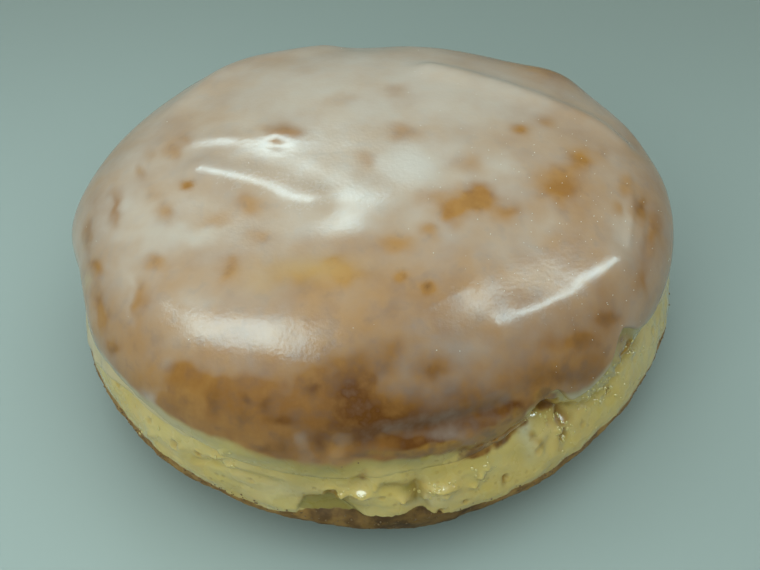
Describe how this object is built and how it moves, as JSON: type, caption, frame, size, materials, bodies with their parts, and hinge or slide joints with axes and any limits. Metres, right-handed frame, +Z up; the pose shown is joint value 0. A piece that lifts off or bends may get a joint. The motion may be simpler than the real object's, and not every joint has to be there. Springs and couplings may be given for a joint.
{
  "type": "glazed filled doughnut",
  "caption": "Round closed yeast doughnut: a brown dome under mottled sugar glaze, a pale moist collar and a flat browned foot.",
  "frame": {"origin": "middle of the bun's box in plan, on the surface that its foot rests on", "axes": "+Z up out of the glazed dome; -Y toward the side with the broken, blistered collar; +X along the bun's longer way"},
  "size_m": [0.0998, 0.0924, 0.0446],
  "materials": {
    "dough": "fried yeast dough: golden brown crust above and below, pale yellow moist collar between, slightly translucent, pitted",
    "glaze": "thin wet sugar glaze, milky and mottled where the brown crust shows through, glossy"
  },
  "bodies": {
    "root": {"doughnut": "dough"}
  },
  "joints": []
}
